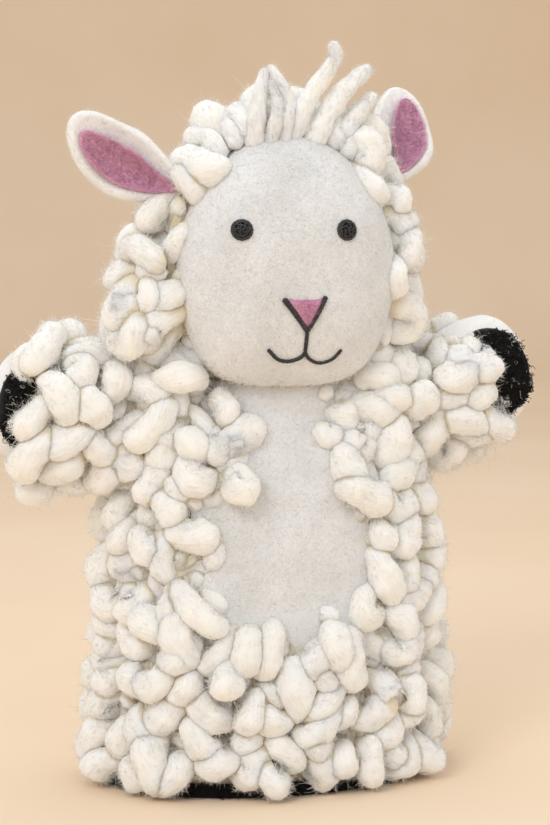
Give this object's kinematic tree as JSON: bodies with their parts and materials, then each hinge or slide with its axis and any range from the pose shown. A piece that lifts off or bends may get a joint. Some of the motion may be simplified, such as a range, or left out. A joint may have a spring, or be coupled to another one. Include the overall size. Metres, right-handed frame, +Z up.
{
  "type": "hand puppet",
  "caption": "Sheep hand puppet: felt glove with a looped wool fleece, domed felt head on a finger pocket, two arms with dark hooves, cupped ears and a forelock.",
  "frame": {"origin": "middle of the hem, on the surface the puppet stands on", "axes": "+Z up, the puppet looks along -Y, its own left hand at +X"},
  "size_m": [0.2113, 0.0955, 0.2755],
  "materials": {
    "white_wool": "loose roving wool",
    "white_felt": "soft wool felt",
    "cream_felt": "soft wool felt",
    "pink_felt": "needle-felted wool",
    "black_felt": "needle-felted curly wool",
    "black_thread": "embroidery thread",
    "cream_thread": "sewing thread",
    "wool_stuffing": "loose wool"
  },
  "bodies": {
    "cuff": {"hem_binding": "black_felt", "cuff_front_panel": "cream_felt", "cuff_back_panel": "cream_felt", "cuff_fleece_front": "white_wool", "cuff_fleece_back": "white_wool", "cuff_seam_stitches": "cream_thread", "waist_sleeve": "cream_felt"},
    "torso": {"torso_front_panel": "cream_felt", "torso_back_panel": "cream_felt", "tummy_panel": "white_felt", "torso_fleece_left": "white_wool", "torso_fleece_right": "white_wool", "torso_fleece_back": "white_wool", "torso_seam_stitches": "cream_thread"},
    "neck_base": {"neck_sleeve_lower": "cream_felt"},
    "neck_top": {"neck_sleeve_upper": "cream_felt"},
    "head": {"head_finger_pocket": "cream_felt", "head_back_panel": "cream_felt", "face_panel": "white_felt", "head_stuffing": "wool_stuffing", "eye_left": "black_thread", "eye_right": "black_thread", "nose_patch": "pink_felt", "nose_stitch": "black_thread", "mouth_stitch": "black_thread", "chin_stitches": "cream_thread", "head_fleece_left": "white_wool", "head_fleece_right": "white_wool", "head_fleece_back": "white_wool", "crown_fleece": "white_wool"},
    "forelock": {"forelock_strands": "white_wool"},
    "ear_left": {"ear_left": "white_felt", "ear_lining_left": "pink_felt"},
    "shoulder_left": {"shoulder_gusset_left": "cream_felt"},
    "arm_left": {"arm_front_panel_left": "white_felt", "arm_back_panel_left": "white_felt", "hoof_pad_left": "black_felt", "arm_fleece_left": "white_wool"},
    "ear_right": {"ear_right": "white_felt", "ear_lining_right": "pink_felt"},
    "shoulder_right": {"shoulder_gusset_right": "cream_felt"},
    "arm_right": {"arm_front_panel_right": "white_felt", "arm_back_panel_right": "white_felt", "hoof_pad_right": "black_felt", "arm_fleece_right": "white_wool"}
  },
  "joints": [
    {"name": "waist_bow", "type": "hinge", "parent": "cuff", "child": "torso", "pos_m": [0, 0, 0.063], "axis": [1, 0, 0], "range_deg": [-10, 15], "stiffness_Nm_per_rad": 0.8, "deforming": ["waist_sleeve"]},
    {"name": "head_turn", "type": "hinge", "parent": "torso", "child": "neck_base", "pos_m": [0, 0, 0.152], "axis": [0, 0, 1], "range_deg": [-20, 20], "stiffness_Nm_per_rad": 0.06},
    {"name": "head_tilt", "type": "hinge", "parent": "neck_base", "child": "neck_top", "pos_m": [0, 0, 0.152], "axis": [0, 1, 0], "range_deg": [-7, 7], "stiffness_Nm_per_rad": 0.25},
    {"name": "head_nod", "type": "hinge", "parent": "neck_top", "child": "head", "pos_m": [0, 0, 0.152], "axis": [1, 0, 0], "range_deg": [-12, 12], "stiffness_Nm_per_rad": 0.25},
    {"name": "arm_raise_left", "type": "hinge", "parent": "torso", "child": "shoulder_left", "pos_m": [0.042, 0, 0.137], "axis": [0, 1, 0], "range_deg": [-15, 30], "stiffness_Nm_per_rad": 0.12},
    {"name": "arm_swing_left", "type": "hinge", "parent": "shoulder_left", "child": "arm_left", "pos_m": [0.042, 0, 0.137], "axis": [0, 0, -1], "range_deg": [-15, 40], "stiffness_Nm_per_rad": 0.05},
    {"name": "arm_raise_right", "type": "hinge", "parent": "torso", "child": "shoulder_right", "pos_m": [-0.042, 0, 0.137], "axis": [0, 1, 0], "range_deg": [-18, 20], "stiffness_Nm_per_rad": 0.12},
    {"name": "arm_swing_right", "type": "hinge", "parent": "shoulder_right", "child": "arm_right", "pos_m": [-0.042, 0, 0.137], "axis": [0, 0, 1], "range_deg": [-15, 40], "stiffness_Nm_per_rad": 0.05},
    {"name": "ear_flop_left", "type": "hinge", "parent": "head", "child": "ear_left", "pos_m": [0.044, -0.018, 0.225], "axis": [-0.9552, 0.0295, 0.2946], "range_deg": [-8, 8], "stiffness_Nm_per_rad": 0.01},
    {"name": "ear_flop_right", "type": "hinge", "parent": "head", "child": "ear_right", "pos_m": [-0.036, -0.02, 0.221], "axis": [-0.4886, 0.0626, -0.8702], "range_deg": [-8, 8], "stiffness_Nm_per_rad": 0.01},
    {"name": "forelock_sway", "type": "hinge", "parent": "head", "child": "forelock", "pos_m": [0.008, -0.014, 0.254], "axis": [0, 1, 0], "range_deg": [-12, 12], "stiffness_Nm_per_rad": 0.002}
  ]
}
